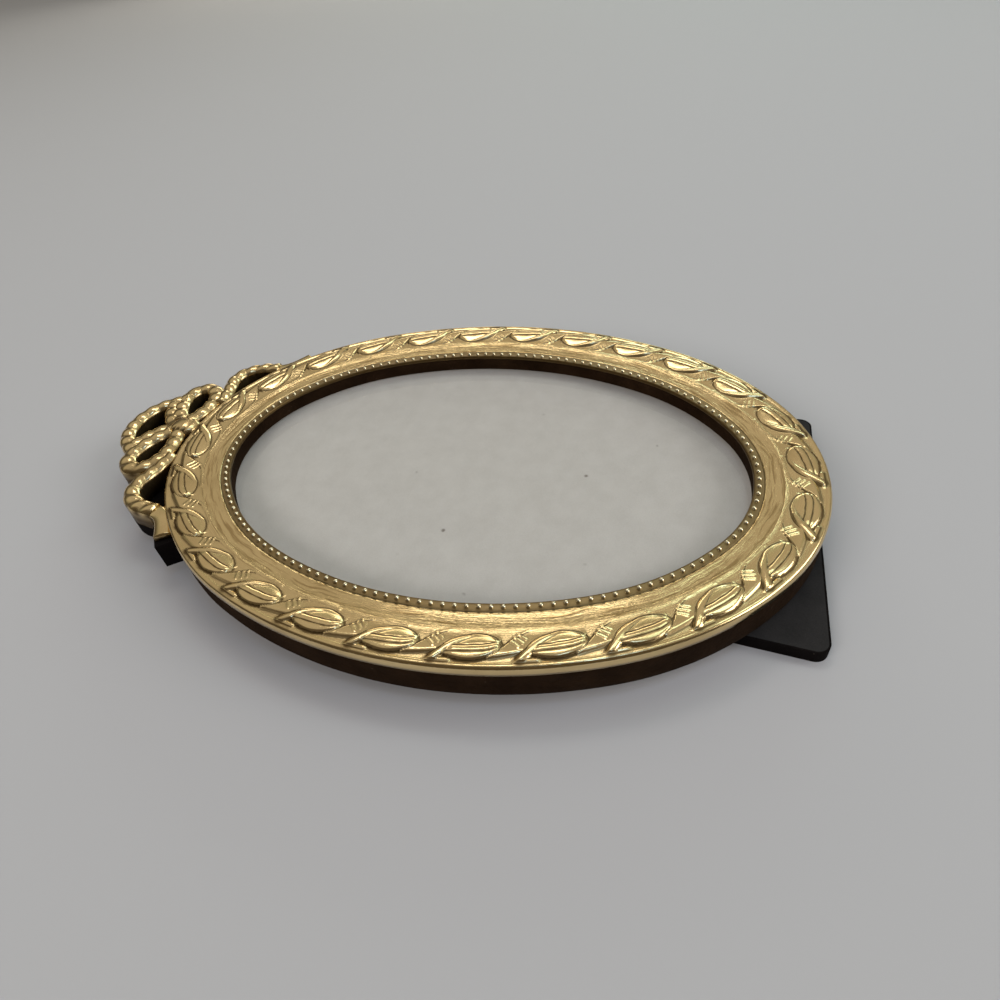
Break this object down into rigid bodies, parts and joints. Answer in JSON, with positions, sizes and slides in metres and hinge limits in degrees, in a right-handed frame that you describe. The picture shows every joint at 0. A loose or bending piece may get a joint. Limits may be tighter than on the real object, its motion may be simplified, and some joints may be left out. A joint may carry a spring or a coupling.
{
  "type": "oval picture frame",
  "caption": "Oval table photo frame in stamped brass with a beaded lip, laurel relief and a pierced ribbon bow, glazed, with a folding easel leg.",
  "frame": {"origin": "under the middle of the oval opening, on the surface that the folded frame lies on", "axes": "+X to the right seen from the front, +Y up to the bow, +Z out of the glazed face"},
  "size_m": [0.1534, 0.234, 0.017],
  "materials": {
    "aged_brass": "satin, lightly tarnished",
    "brass_fixings": "dull",
    "steel_fixings": "dull",
    "core_wood": "raw",
    "brown_velvet": "pile",
    "liner_velvet": "pile",
    "black_velvet": "pile",
    "pane": "clear",
    "grey_paper": "matt, flecked",
    "grey_card": "matt",
    "panel_board": "matt",
    "black_paper": "matt"
  },
  "bodies": {
    "frame": {"brass_face": "aged_brass", "bead_rim": "aged_brass", "frame_core": "core_wood", "side_velvet": "brown_velvet", "opening_liner": "liner_velvet", "bow_crest": "aged_brass", "crest_board": "black_velvet", "crest_velvet": "black_velvet", "crest_screws": "steel_fixings", "bow_pins": "brass_fixings", "glass": "pane", "photo_insert": "grey_paper", "backing_card": "grey_card", "back_panel": "panel_board", "panel_velvet": "black_velvet", "hinge_fixed_leaf": "brass_fixings", "hinge_pin": "steel_fixings", "hinge_rivets": "brass_fixings", "button_screws": "brass_fixings"},
    "leg": {"leg_velvet": "black_velvet", "leg_board": "panel_board", "leg_lining": "black_paper", "hinge_leg_leaf": "brass_fixings", "leg_rivets": "brass_fixings"},
    "button_1": {"turn_button_1": "brass_fixings"},
    "button_2": {"turn_button_2": "brass_fixings"},
    "button_3": {"turn_button_3": "brass_fixings"},
    "button_4": {"turn_button_4": "brass_fixings"}
  },
  "joints": [
    {"name": "easel_leg_fold", "type": "hinge", "parent": "frame", "child": "leg", "pos_m": [0, 0.05198, 0.002], "axis": [1, 0, 0], "range_deg": [0, 35]},
    {"name": "button_1_turn", "type": "hinge", "parent": "frame", "child": "button_1", "pos_m": [0.06206, 0.04387, 0.0034], "axis": [0, 0, 1], "range_deg": [0, 90]},
    {"name": "button_2_turn", "type": "hinge", "parent": "frame", "child": "button_2", "pos_m": [-0.06206, 0.04387, 0.0034], "axis": [0, 0, 1], "range_deg": [0, 90]},
    {"name": "button_3_turn", "type": "hinge", "parent": "frame", "child": "button_3", "pos_m": [-0.06206, -0.04387, 0.0034], "axis": [0, 0, 1], "range_deg": [0, 90]},
    {"name": "button_4_turn", "type": "hinge", "parent": "frame", "child": "button_4", "pos_m": [0.06206, -0.04387, 0.0034], "axis": [0, 0, 1], "range_deg": [0, 90]}
  ]
}
